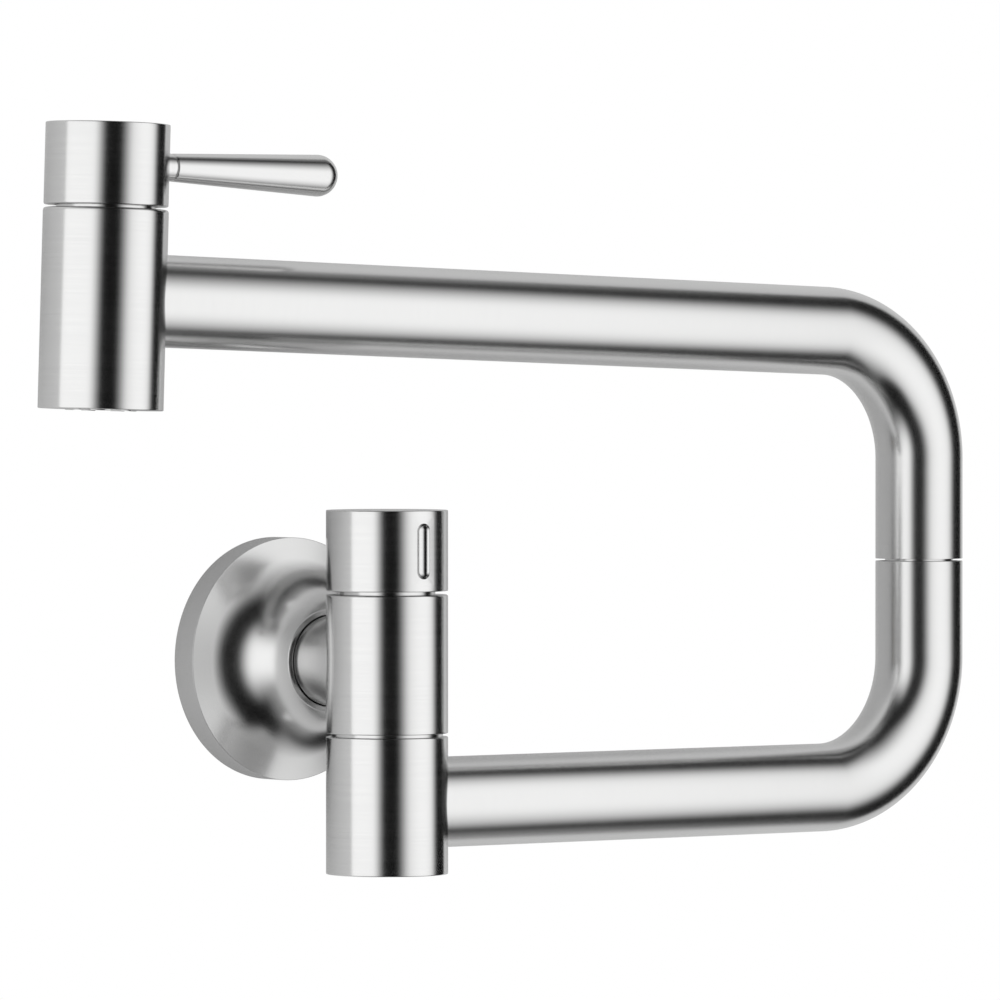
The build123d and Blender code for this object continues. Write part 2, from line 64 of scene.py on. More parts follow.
# Inlet nipple and wall flange: a turned brass nipple that screws into the supply, and the zinc-plated steel flange
# that it pulls against the wall, with a rubber gasket. The rosette hides them once the tap hangs, so the CAD shapes
# stay and only their finishes are made here.


class Wire:
    """One shader socket. Arithmetic with a number or with another socket adds Math nodes to its tree."""

    def __init__(self, socket):
        self.socket = socket

    @classmethod
    def node(cls, tree, kind, settings=(), sockets=(), output=0):
        """A node of any kind: its settings are set first, then the values or links of its sockets. One output of
        it is given back."""
        node = tree.nodes.new(kind)
        for name, value in dict(settings).items():
            setattr(node, name, value)
        for key, value in dict(sockets).items():
            if isinstance(value, Wire):
                tree.links.new(value.socket, node.inputs[key])
            else:
                node.inputs[key].default_value = value
        return cls(node.outputs[output])

    def maths(self, operation, first, second):
        """A Math node on two numbers or sockets, in this socket's tree."""
        tree = self.socket.id_data
        return Wire.node(tree, "ShaderNodeMath", {"operation": operation}, {0: first, 1: second})

    def __add__(self, other):
        return self.maths("ADD", self, other)

    def __sub__(self, other):
        return self.maths("SUBTRACT", self, other)

    def __rsub__(self, other):
        return self.maths("SUBTRACT", other, self)

    def __mul__(self, other):
        return self.maths("MULTIPLY", self, other)

    __radd__ = __add__
    __rmul__ = __mul__


def shop_finish(name, dark, light, mark, rough, spread, metal, relief):
    """A finish for inner pieces. Noise with marks of one size, over slow clouds, shades the colour from dark to
    light. The marks alone vary the roughness about its middle and raise a shallow bump."""
    marks_share, cloud_scale, bump_strength = 0.6, 0.08 / mark, 0.5
    material = bpy.data.materials.new(name)
    material.use_nodes = True
    tree = material.node_tree
    place = Wire.node(tree, "ShaderNodeTexCoord", output="Object")
    marks = Wire.node(tree, "ShaderNodeTexNoise", sockets={"Vector": place, "Scale": 1 / mark, "Detail": 3})
    cloud = Wire.node(tree, "ShaderNodeTexNoise", sockets={"Vector": place, "Scale": cloud_scale, "Detail": 2})
    blotch = marks * marks_share + cloud * (1 - marks_share)
    tone = Wire.node(tree, "ShaderNodeMix", {"data_type": "RGBA"}, {0: blotch, 6: (*dark, 1), 7: (*light, 1)},
                     output=2)
    bump = Wire.node(tree, "ShaderNodeBump",
                     sockets={"Strength": bump_strength, "Distance": relief, "Height": marks})
    wear = (marks - 0.5) * spread + rough
    surface = tree.nodes["Principled BSDF"].inputs
    surface["Metallic"].default_value = metal
    for key, wire in (("Base Color", tone), ("Roughness", wear), ("Normal", bump)):
        tree.links.new(wire.socket, surface[key])
    return material


def dress(material, *nodes):
    """Give CAD nodes a finish in place of their plain one."""
    for node in nodes:
        slots = frame["nodes"][node].data.materials
        slots.clear()
        slots.append(material)


turned_brass = shop_finish("turned_brass", dark=(0.62, 0.45, 0.21), light=(0.76, 0.60, 0.32), mark=0.0006,
                           rough=0.3, spread=0.16, metal=1, relief=0.00001)
zinc_plate = shop_finish("zinc_plate", dark=(0.48, 0.49, 0.50), light=(0.62, 0.62, 0.61), mark=0.0009,
                         rough=0.36, spread=0.2, metal=1, relief=0.00001)
black_rubber = shop_finish("black_rubber", dark=(0.018, 0.018, 0.018), light=(0.04, 0.04, 0.038), mark=0.0005,
                           rough=0.62, spread=0.2, metal=0, relief=0.00002)
dress(turned_brass, "inlet_nipple")
dress(zinc_plate, "mounting_flange")
dress(black_rubber, "inlet_gasket", "rosette_oring", "rosette_seal")

# Neck: a short length of heavy stainless tube, screwed over the nipple and cut to the round of the valve, where
# it is brazed on. It is ground along with the valve, so its fine lines run round it.


def eased(corners, cut, closed=True):
    """An outline with its corners rounded: each corner becomes a parabola from one cut before it to one cut after
    it, with a point two cuts off on either side that keeps the straight runs straight."""
    corners = np.asarray(corners, float)
    path = np.vstack([corners[-1:], corners, corners[:1]]) if closed else corners
    middle = path[1:-1]
    back, ahead = path[:-2] - middle, path[2:] - middle
    cut = np.broadcast_to(np.asarray(cut, float), len(middle))[:, None]
    back *= cut / np.linalg.norm(back, axis=1, keepdims=True)
    ahead *= cut / np.linalg.norm(ahead, axis=1, keepdims=True)
    t = np.linspace(0, 1, 7)[:, None, None]
    curve = (1 - t) ** 2 * (middle + back) + 2 * t * (1 - t) * middle + t ** 2 * (middle + ahead)
    curve = np.concatenate([[middle + 2 * back], curve, [middle + 2 * ahead]])
    curve = curve.transpose(1, 0, 2).reshape(-1, 2)
    return curve if closed else np.vstack([path[:1], curve, path[-1:]])


def lathe(outline, origin, axes, columns=160, trim=None):
    """A surface of revolution: each (radius, height) of the outline is carried round the third axis. With a trim,
    heights stop at the side of a round valve: at its distance less the root of its radius squared less x squared.
    The grain is the same surface unrolled: round the largest radius, and the way travelled along the outline."""
    angle = np.linspace(0, 2 * np.pi, columns, endpoint=False)
    radius, height = outline[:, :1], np.repeat(outline[:, 1:], columns, 1)
    x, y = radius * np.cos(angle), radius * np.sin(angle)
    if trim:
        height = np.minimum(height, trim[0] - np.sqrt(trim[1] ** 2 - x ** 2))
    way = np.concatenate([[0], np.cumsum(np.linalg.norm(np.diff(outline, axis=0), axis=1))])
    points = np.asarray(origin) + np.stack([x, y, height], -1) @ np.asarray(axes, float)
    drum = radius.max()
    grain = np.stack(np.broadcast_arrays(drum * np.cos(angle), drum * np.sin(angle), way[:, None]), -1)
    return points, grain


def quads(rows, columns, closed=True):
    """Corner numbers of the faces of a grid that closes on itself across, and along too where the outline does."""
    row, column = np.arange(rows if closed else rows - 1)[:, None], np.arange(columns)
    here, there = row * columns, (row + 1) % rows * columns
    after = (column + 1) % columns
    return np.stack([here + column, here + after, there + after, there + column], -1)


def add_piece(name, points, grain, faces, material, body, slot, *nodes):
    """Put a surface into a mesh with its grain, close its seams and poles, turn its faces outwards and let it ride
    on a body in place of CAD nodes. Edges bent by more than the crease stay sharp."""
    weld, sliver, crease = 2e-7, 1e-7, np.radians(32)
    mesh = bpy.data.meshes.new(name)
    mesh.from_pydata(points.reshape(-1, 3).tolist(), [], faces.reshape(-1, 4).tolist())
    stored = mesh.attributes.new("grain", "FLOAT_VECTOR", "POINT")
    stored.data.foreach_set("vector", np.ascontiguousarray(grain, np.float32).ravel())
    work = bmesh.new()
    work.from_mesh(mesh)
    bmesh.ops.remove_doubles(work, verts=work.verts, dist=weld)
    bmesh.ops.dissolve_degenerate(work, edges=work.edges, dist=sliver)
    bmesh.ops.recalc_face_normals(work, faces=work.faces)
    work.to_mesh(mesh)
    work.free()
    mesh.shade_smooth()
    mesh.set_sharp_from_angle(angle=crease)
    mesh.materials.append(material)
    piece = bpy.data.objects.new(name, mesh)
    bpy.context.scene.collection.objects.link(piece)
    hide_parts(*nodes)
    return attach(piece, body)


def steel(name, dark, light, pitch, run, rough, spread, relief):
    """Stainless steel. Noise stretched along the grain draws fine lines, one pitch wide and a run long, over slow
    patches. Both shade the colour and the roughness, and the lines alone raise a faint bump."""
    lines_share, patch_scale, bump_strength = 0.7, 90, 0.4
    material = bpy.data.materials.new(name)
    material.use_nodes = True
    tree = material.node_tree
    grain = Wire.node(tree, "ShaderNodeAttribute", {"attribute_name": "grain"}, output="Vector")
    stretched = Wire.node(tree, "ShaderNodeVectorMath", {"operation": "MULTIPLY"},
                          {0: grain, 1: (1 / run, 1 / run, 1 / pitch)})
    lines = Wire.node(tree, "ShaderNodeTexNoise", sockets={"Vector": stretched, "Scale": 1, "Detail": 3})
    patch = Wire.node(tree, "ShaderNodeTexNoise", sockets={"Vector": grain, "Scale": patch_scale, "Detail": 2})
    sheen = lines * lines_share + patch * (1 - lines_share)
    tone = Wire.node(tree, "ShaderNodeMix", {"data_type": "RGBA"}, {0: sheen, 6: (*dark, 1), 7: (*light, 1)},
                     output=2)
    bump = Wire.node(tree, "ShaderNodeBump",
                     sockets={"Strength": bump_strength, "Distance": relief, "Height": lines})
    wear = (lines - 0.5) * spread + (patch - 0.5) * spread * 0.5 + rough
    surface = tree.nodes["Principled BSDF"].inputs
    surface["Metallic"].default_value = 1
    for key, wire in (("Base Color", tone), ("Roughness", wear), ("Normal", bump)):
        tree.links.new(wire.socket, surface[key])
    return material


satin = steel("satin_steel", dark=(0.63, 0.63, 0.63), light=(0.69, 0.69, 0.685), pitch=0.0003, run=0.01,
              rough=0.22, spread=0.06, relief=0.000002)
off_wall = ((1, 0, 0), (0, 0, 1), (0, -1, 0))
upright = np.eye(3)
low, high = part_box("inlet_neck")
neck_r = (high.x - low.x) / 2
valve_at = Vector(joints["lower_swivel"]["pos_m"])
body_r = (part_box("valve_body")[1].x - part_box("valve_body")[0].x) / 2
neck_bore = 0.0105
outline = np.array([(neck_bore, -high.y), (neck_r, -high.y), (neck_r, -valve_at.y), (neck_bore, -valve_at.y)])
points, grain = lathe(outline, (0, 0, 0), off_wall, trim=(-valve_at.y, body_r))
add_piece("neck", points, grain, quads(*points.shape[:2]), satin, "wall_valve", "brushed_steel", "inlet_neck")

# Rosette: a spun stainless cover that slides on the neck and hides the wall fixing. From a straight rim the sheet
# runs in a low cone and then sweeps up, as a trumpet does, to a thick lip that holds an O-ring on the neck.
low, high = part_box("rosette")
rim_r, depth = (high.x - low.x) / 2, high.y - low.y
rim, sheet, lip_wall, lip_length, lip_play, lip_round = 0.010, 0.0018, 0.00145, 0.0046, 0.0003, 0.0004
cone, flare_r, rim_edge = np.radians(17.2), 0.0242, 0.00015
lip_bore = neck_r + lip_play
flare_at = lip_bore + lip_wall + flare_r
flare_top = rim + (rim_r - flare_at + flare_r * np.sin(cone)) * np.tan(cone) + flare_r * np.cos(cone)


def trumpet(radius, stop):
    """The sweep of the flare: points at one radius from its centre, which lies outside the sheet, from where the
    cone runs into the arc smoothly, a quarter turn less the cone's angle, round to the height where it stops."""
    turn = np.linspace(np.pi / 2 - cone, np.arcsin((flare_top - stop) / radius), 48)
    return np.column_stack([flare_at - radius * np.cos(turn), flare_top - radius * np.sin(turn)])


outside, inside = trumpet(flare_r, depth - lip_round), trumpet(flare_r + sheet, depth - lip_length)
inner_r = rim_r - sheet
inner_rim = inside[0, 1] - (inner_r - inside[0, 0]) * np.tan(cone)
crest = trumpet(flare_r, depth)[-1]
t = np.linspace(0, 1, 12)[1:, None]
lip_curve = (1 - t) ** 2 * outside[-1] + 2 * t * (1 - t) * crest + t ** 2 * (crest - (lip_round, 0))
lip_face = eased([lip_curve[-1], (lip_bore, depth), (lip_bore, depth - lip_length)], rim_edge, closed=False)
foot = eased([(rim_r, 0), (rim_r, rim), outside[0]], rim_edge, closed=False)
outline = np.vstack([foot, outside[1:], lip_curve, lip_face[1:], inside[::-1],
                     [(inner_r, inner_rim), (inner_r, 0)]])
points, grain = lathe(outline, (0, 0, 0), off_wall, columns=240)
add_piece("rosette_cover", points, grain, quads(*points.shape[:2]), satin, "wall_valve", "brushed_steel",
          "rosette")

# Valve body: turned from stainless bar, bored for the cartridge, with a collar on top that the knob's skirt runs
# over. The cartridge inside is brass with two lapped ceramic discs and a rubber seat.
brushed = steel("brushed_steel", dark=(0.61, 0.61, 0.61), light=(0.71, 0.71, 0.705), pitch=0.0004, run=0.03,
                rough=0.18, spread=0.08, relief=0.000003)
ceramic = shop_finish("lapped_ceramic", dark=(0.80, 0.80, 0.77), light=(0.88, 0.88, 0.86), mark=0.0004,
                      rough=0.25, spread=0.1, metal=0, relief=0.000002)
edge, top_edge = 0.0004, 0.0007
collar_step, collar_rise, collar_bore = 0.0042, 0.006, 0.0117
low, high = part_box("valve_body")
body_top = high.z - collar_rise
collar_r = body_r - collar_step
outline = eased([(body_r, low.z), (body_r, body_top), (collar_r, body_top), (collar_r, high.z),
                 (collar_bore, high.z), (collar_bore, low.z)],
                [edge, top_edge, edge / 4, edge / 2, edge / 2, edge / 2])
points, grain = lathe(outline, valve_at, upright, columns=200)
add_piece("valve_body_turned", points, grain, quads(*points.shape[:2]), brushed, "wall_valve", "brushed_steel",
          "valve_body")
dress(turned_brass, "shutoff_cartridge", "shutoff_spindle", "swivel_shaft")
dress(ceramic, "shutoff_fixed_disc", "shutoff_turning_disc")
dress(black_rubber, "shutoff_seat_seal", "shutoff_stem_oring", "swivel_orings")

# Knob: a hollow stainless cap on the spindle's flats, held by a grub screw from the wall side. One finger groove
# with round ends is milled into its front and shows which way it is turned.


def dent(window, half_run, rings):
    """Rings of points from a window's edge in to the middle line of a groove: each goes out from the nearest point
    of that line by its own distance, and each sinks by its own depth below the round side."""
    core = np.stack([np.zeros(len(window)), np.clip(window[:, 1], -half_run, half_run)], -1)
    away = window - core
    distance = np.linalg.norm(away, axis=1, keepdims=True)
    spread = np.concatenate([[distance], np.broadcast_to(rings[:, :1, None], (len(rings), *distance.shape))])
    flat = core + away / distance * spread
    return flat, np.concatenate([[0], rings[:, 1]])[:, None]


groove_w, groove_h, groove_depth = 0.0053, 0.0182, 0.0019
screw_bore, screw_sink = 0.00255, 0.0013
roof, skirt_play, hub_r, spindle_r = 0.0035, 0.0008, 0.0085, 0.00455
low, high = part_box("knob")
mid = (low.z + high.z) / 2
columns, rows, reach = 240, 41, 0.011
top = eased([(0, high.z), (body_r, high.z), (body_r, mid)], edge, closed=False)[:-1]
skirt_r, hub_low, ceiling = collar_r + skirt_play, mid - reach / 2, high.z - roof
under = eased([(body_r, mid), (body_r, low.z), (skirt_r, low.z), (skirt_r, ceiling), (hub_r, ceiling),
               (hub_r, hub_low), (spindle_r, hub_low), (spindle_r, ceiling), (0, ceiling)],
              [edge, edge] + [edge / 3] * 5, closed=False)[1:]
side = np.column_stack([np.full(rows, body_r), np.linspace(mid + reach, mid - reach, rows)])
outline = np.vstack([top, side, under])
points, grain = lathe(outline, valve_at, upright, columns=columns)
faces = quads(len(outline), columns, closed=False)
kept = np.ones(faces.shape[:2], bool)
mill_r = (groove_w ** 2 / 4 + groove_depth ** 2) / (2 * groove_depth)
inward = groove_w / 2 * np.array([1, 0.97, 0.93, 0.86, 0.75, 0.6, 0.45, 0.3, 0.15, 0])
groove = np.column_stack([inward, np.sqrt(mill_r ** 2 - inward ** 2) - mill_r + groove_depth])
screw_hole = np.array([(screw_bore + edge / 2, 0), (screw_bore, edge / 2), (screw_bore, screw_sink),
                       (0, screw_sink)])
all_points, all_grain, all_faces = [points.reshape(-1, 3)], [grain.reshape(-1, 3)], []
across = 8
# The groove in front and the screw's hole behind: each takes a window out of the grid and fills it with its rings.
for middle, tall, half_run, rings in ((columns * 3 // 4, 20, (groove_h - groove_w) / 2, groove),
                                      (columns // 4, 8, 0, screw_hole)):
    first = len(top) + rows // 2 - tall
    kept[first:first + 2 * tall, middle - across:middle + across] = False
    frame_u = np.concatenate([np.arange(-across, across), np.full(2 * tall, across),
                              np.arange(across, -across, -1), np.full(2 * tall, -across)])
    frame_v = np.concatenate([np.full(2 * across, tall), np.arange(tall, -tall, -1),
                              np.full(2 * across, -tall), np.arange(-tall, tall)])
    turn = 2 * np.pi * middle / columns
    window = np.column_stack([body_r * np.sin(frame_u * 2 * np.pi / columns), frame_v * 2 * reach / (rows - 1)])
    flat, sink = dent(window, half_run, rings)
    away = np.sqrt(body_r ** 2 - flat[..., 0] ** 2) - sink
    spot = np.stack([away * np.cos(turn) - flat[..., 0] * np.sin(turn),
                     away * np.sin(turn) + flat[..., 0] * np.cos(turn), flat[..., 1] + mid], -1)
    way = grain[len(top) + rows // 2, 0, 2] - flat[..., 1]
    all_faces.append(quads(*spot.shape[:2], closed=False).reshape(-1, 4) + sum(map(len, all_points)))
    all_points.append((spot + np.asarray(valve_at)).reshape(-1, 3))
    all_grain.append(np.stack([spot[..., 0], spot[..., 1], way], -1).reshape(-1, 3))
all_faces.append(faces[kept])
add_piece("knob_turned", np.vstack(all_points), np.vstack(all_grain), np.vstack(all_faces), brushed,
          "shutoff_knob", "brushed_steel", "knob")
dress(zinc_plate, "knob_screw")

# Swivel housing under the valve: a stainless drum that turns on the fixed shaft and carries the lower arm. A seam
# ring keeps it a hair off the valve, and a plug pressed in from below closes it.
shaft_play, plug_play = 0.00006, 0.00005
seam_r = (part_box("swivel_seam_ring")[1].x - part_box("swivel_seam_ring")[0].x) / 2
shaft_r = (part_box("swivel_shaft")[1].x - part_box("swivel_shaft")[0].x) / 2 + shaft_play
plug_low, plug_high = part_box("swivel_plug")
plug_r = (plug_high.x - plug_low.x) / 2
plug_bore = plug_r + plug_play
low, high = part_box("swivel_seam_ring")
outline = eased([(seam_r, low.z), (seam_r, high.z), (shaft_r, high.z), (shaft_r, low.z)], edge / 8)
points, grain = lathe(outline, valve_at, upright)
add_piece("seam_ring", points, grain, quads(*points.shape[:2]), brushed, "wall_valve", "brushed_steel",
          "swivel_seam_ring")
low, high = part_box("swivel_housing")
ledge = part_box("swivel_thrust_washer")[1].z
outline = eased([(body_r, low.z), (body_r, high.z), (shaft_r, high.z), (shaft_r, ledge), (plug_bore, ledge),
                 (plug_bore, low.z)], [edge, edge, edge / 2, edge / 4, edge / 4, edge / 4])
points, grain = lathe(outline, valve_at, upright, columns=200)
add_piece("swivel_drum", points, grain, quads(*points.shape[:2]), brushed, "lower_arm", "brushed_steel",
          "swivel_housing")
outline = eased([(0, plug_high.z), (plug_r, plug_high.z), (plug_r, plug_low.z), (0, plug_low.z)], edge / 4,
                closed=False)
points, grain = lathe(outline, valve_at, upright)
add_piece("swivel_cap", points, grain, quads(*points.shape[:2], closed=False), brushed, "lower_arm",
          "brushed_steel", "swivel_plug")
dress(zinc_plate, "swivel_thrust_washer", "swivel_clip")
dress(turned_brass, "lower_arm_connector")

# Lower arm: one length of drawn stainless tube, bent up at the elbow and cut to the round of the swivel housing,
# where it is brazed over a brass sleeve. Its satin is softer than that of the turned pieces.


def bent_tube(radius, wall, bend_r, riser, reach, turn, valve_r, columns=144):
    """A tube up a riser, round a bend and out along an arm: rings about a centre line of straight, arc and
    straight, outside on the way out and inside on the way back. Its far end stops at the side of a round valve: at
    the reach less the root of the valve's radius squared less the distance across squared. The points are given as
    (out, across, up)."""
    bend = bend_r * np.tan(turn / 2)
    lip, lip_rings, bend_rings = 0.00008, 5, 49
    first, last = lip_rings + 1, lip_rings + 1 + bend_rings
    start = np.linspace(0, np.pi / 2, lip_rings)
    run = np.concatenate([-riser + lip * (1 - np.cos(start)), [-riser + 4 * lip], np.full(bend_rings, -bend)])
    angle = np.concatenate([np.zeros(first), np.linspace(0, turn, bend_rings)])
    size = np.concatenate([radius - lip * (1 - np.sin(start)), np.full(bend_rings + 1, radius)])
    arm = np.concatenate([np.full(last, bend), [reach]])
    run, angle, size = np.append(run, -bend), np.append(angle, turn), np.append(size, radius)
    inner = np.r_[last, last - 1:first:-1, 0]
    run, angle, arm = (np.concatenate([way, way[inner]]) for way in (run, angle, arm))
    size = np.concatenate([size, np.full(len(inner), radius - wall)])[:, None]
    about = np.linspace(0, 2 * np.pi, columns, endpoint=False)
    across = size * np.sin(about)
    arm = np.minimum(arm[:, None], reach - np.sqrt(valve_r ** 2 - across ** 2)) - bend
    angle, run = angle[:, None], run[:, None]
    out = bend_r * (1 - np.cos(angle)) + arm * np.sin(angle) - size * np.cos(about) * np.cos(angle)
    up = run + bend_r * np.sin(angle) + arm * np.cos(angle) + size * np.cos(about) * np.sin(angle)
    way = run + bend_r * angle + arm
    grain = np.stack(np.broadcast_arrays(radius * np.cos(about), radius * np.sin(about), way), -1)
    return np.stack([out, across, up], -1), grain


drawn = steel("drawn_steel", dark=(0.63, 0.63, 0.63), light=(0.69, 0.69, 0.685), pitch=0.0003, run=0.01,
              rough=0.22, spread=0.06, relief=0.0000015)
elbow_at = Vector(joints["elbow_swivel"]["pos_m"])
tube_wall, bend_r = 0.0014, 0.0437
low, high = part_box("lower_arm_tube")
tube_r = (high.y - low.y) / 2
arm_level = low.z + tube_r
riser = high.z - arm_level
points, grain = bent_tube(tube_r, tube_wall, bend_r, riser, elbow_at.x - valve_at.x, np.pi / 2, body_r)
points = np.stack([elbow_at.x - points[..., 0], elbow_at.y + points[..., 1], arm_level - points[..., 2]], -1)
add_piece("lower_tube", points, grain, quads(*points.shape[:2]), drawn, "lower_arm", "brushed_steel",
          "lower_arm_tube")

# Elbow joint: a steel spigot brazed into the lower tube carries a sleeve in the upper one, with O-rings between
# them, a steel washer to run on and a spring clip on top. Only the edge of the washer shows, in the seam.
low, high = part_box("elbow_washer")
washer_r = (high.x - low.x) / 2
spigot_r = 0.0096
outline = eased([(washer_r, low.z), (washer_r, high.z), (spigot_r, high.z), (spigot_r, low.z)], edge / 8)
points, grain = lathe(outline, elbow_at, upright)
add_piece("elbow_slip_washer", points, grain, quads(*points.shape[:2]), satin, "lower_arm", "plain_steel",
          "elbow_washer")
dress(zinc_plate, "elbow_spigot", "elbow_sleeve", "elbow_clip")
dress(black_rubber, "elbow_orings")

# Upper arm: the same drawn tube, longer and bent a little short of square, so that it rises towards the spout. It
# stands on the elbow joint and ends against the spout valve.
spout_at = Vector(joints["lever_turn"]["pos_m"])
spout_up = Vector(joints["lever_turn"]["axis"])
rise = np.arcsin(spout_up.x)
low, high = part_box("upper_arm_tube")
spout_r = 0.02015
upper_level = spout_at.z - (elbow_at.x - spout_at.x) * np.tan(rise)
riser, upper_reach = upper_level - low.z, (elbow_at.x - spout_at.x) / np.cos(rise)
points, grain = bent_tube(tube_r, tube_wall, bend_r, riser, upper_reach, np.pi / 2 - rise, spout_r)
points = np.stack([elbow_at.x - points[..., 0], elbow_at.y + points[..., 1], upper_level + points[..., 2]], -1)
add_piece("upper_tube", points, grain, quads(*points.shape[:2]), drawn, "upper_arm", "brushed_steel",
          "upper_arm_tube")
dress(turned_brass, "upper_arm_connector")

# Spout valve: a second turned stainless body at the end of the upper arm, square to that arm and so a little out of
# upright, with its own cartridge above and the aerator screwed in below.
tilted = np.array([(np.cos(rise), 0, -np.sin(rise)), (0, 1, 0), (np.sin(rise), 0, np.cos(rise))])
spout_above, spout_below, outlet_r, outlet_h, shoulder_lift = 0.0286, 0.0355, 0.01155, 0.013, 0.0002
shoulder, shoulder_edge = spout_above + shoulder_lift, top_edge * 1.6
spout_collar_r, spout_collar_top = spout_r - collar_step, spout_above + collar_rise
outlet_top = outlet_h - spout_below
outline = eased([(spout_r, -spout_below), (spout_r, shoulder), (spout_collar_r, shoulder),
                 (spout_collar_r, spout_collar_top), (collar_bore, spout_collar_top), (collar_bore, outlet_top),
                 (outlet_r, outlet_top), (outlet_r, -spout_below)],
                [edge, shoulder_edge, edge / 4, edge / 2, edge / 2, edge / 8, edge / 8, edge / 2])
points, grain = lathe(outline, spout_at, tilted, columns=200)
add_piece("spout_body_turned", points, grain, quads(*points.shape[:2]), brushed, "upper_arm", "brushed_steel",
          "spout_body")
dress(turned_brass, "spout_cartridge", "spout_spindle")
dress(ceramic, "spout_fixed_disc", "spout_turning_disc")
dress(black_rubber, "spout_seat_seal", "spout_stem_oring", "aerator_seal")

# Aerator: a stainless ring screwed into the outlet, with a moulded plastic honeycomb that breaks up the stream. Its
# mouth is castellated for a key: a clipped cosine round the ring, one wave to a tooth, lifts its lower end.
aerator_r, aerator_wall, aerator_proud, aerator_h = 0.0115, 0.0016, 0.0003, 0.011
teeth, notch_h, notch_flank, tooth_turn = 7, 0.0013, 6, np.radians(24.4)
columns = 240
mouth, aerator_bore = -spout_below - aerator_proud, aerator_r - aerator_wall
outline = eased([(aerator_r, mouth), (aerator_r, mouth + aerator_h), (aerator_bore, mouth + aerator_h),
                 (aerator_bore, mouth)], edge / 4)
points, grain = lathe(outline, spout_at, tilted, columns=columns)
angle = np.linspace(0, 2 * np.pi, columns, endpoint=False)
notch = np.clip(0.5 - notch_flank * np.cos(teeth * (angle - tooth_turn)), 0, 1)
lift = np.where(outline[:, 1] < mouth + 2 * edge, notch_h, 0)[:, None] * notch
points = points + lift[..., None] * np.asarray(spout_up)
add_piece("aerator_ring", points, grain, quads(*points.shape[:2]), satin, "upper_arm", "brushed_steel",
          "aerator_housing")
moulded = shop_finish("moulded_plastic", dark=(0.10, 0.10, 0.10), light=(0.15, 0.15, 0.15), mark=0.0004,
                      rough=0.45, spread=0.15, metal=0, relief=0.00001)
dress(moulded, "aerator_insert")

# Lever cap: a hollow stainless cap, turned like the knob, that sits on the spindle's flats and works the cartridge
# of the spout. It has no groove, because the lever shows where it stands.
cap_r, cap_h, cap_gap, skirt_drop = 0.020, 0.0261, 0.0014, 0.0003
cap_low = spout_above + cap_gap
cap_top = cap_low + cap_h
skirt_r, hem = spout_collar_r + skirt_play, cap_low - skirt_drop
ceiling, hub_low = cap_top - roof, cap_low + cap_h / 3
outline = eased([(0, cap_top), (cap_r, cap_top), (cap_r, hem), (skirt_r, hem), (skirt_r, ceiling),
                 (hub_r, ceiling), (hub_r, hub_low), (spindle_r, hub_low), (spindle_r, ceiling), (0, ceiling)],
                [edge, top_edge] + [edge / 3] * 6, closed=False)
points, grain = lathe(outline, spout_at, tilted, columns=200)
add_piece("lever_cap_turned", points, grain, quads(*points.shape[:2], closed=False), brushed, "spout_lever",
          "brushed_steel", "lever_cap")

# Lever: a tapered stainless pin with a ball end, turned and finely polished, screwed on a stem that is itself
# screwed through the cap. A fine seam shows where the two meet.
polished = steel("polished_steel", dark=(0.64, 0.64, 0.64), light=(0.69, 0.69, 0.685), pitch=0.00016, run=0.004,
                 rough=0.19, spread=0.04, relief=0.000001)
lever_joint, root_r, ball_at, ball_r, sunk = 0.0251, 0.0045, 0.0835, 0.0068, 0.0006
seam_edge = edge * 1.6
lever_at = np.asarray(spout_at) + (cap_low + cap_h / 2) * tilted[2]
sideways = tilted[[1, 2, 0]]
outline = eased([(0, cap_r - sunk), (root_r, cap_r - sunk), (root_r, lever_joint), (0, lever_joint)],
                [edge / 8, seam_edge], closed=False)
points, grain = lathe(outline, lever_at, sideways, columns=96)
add_piece("lever_stem_turned", points, grain, quads(*points.shape[:2], closed=False), polished, "spout_lever",
          "lever_steel", "lever_stem")
length = ball_at - lever_joint
taper = np.arcsin(ball_r / np.hypot(root_r, length)) - np.arctan2(root_r, length)
waist = np.array([ball_r * np.cos(taper), ball_at - ball_r * np.sin(taper)])
nose = np.linspace(-taper, np.pi / 2, 40)[:, None]
nose = np.hstack([ball_r * np.cos(nose), ball_at + ball_r * np.sin(nose)])
nose[-1, 0] = 0
outline = eased([(0, lever_joint), (root_r, lever_joint), waist], seam_edge, closed=False)[:-1]
outline = np.vstack([outline, nose])
points, grain = lathe(outline, lever_at, sideways, columns=96)
add_piece("lever_pin", points, grain, quads(*points.shape[:2], closed=False), polished, "spout_lever",
          "lever_steel", "lever")

# Light tent: a round tent of cloth that the camera doesn't see. It has a soft box on either side of the camera, a
# black flag between them, a dark slit on the right, plain grey cloth at the back, and a dim strip overhead and
# underfoot. Bearings and heights on it are in degrees from the camera's side and from level.


def add_stage(name, points, faces, material):
    """Put a surface of the studio into the scene, apart from the object."""
    mesh = bpy.data.meshes.new(name)
    mesh.from_pydata(points.reshape(-1, 3).tolist(), [], faces.reshape(-1, 4).tolist())
    mesh.materials.append(material)
    thing = bpy.data.objects.new(name, mesh)
    bpy.context.scene.collection.objects.link(thing)
    return thing


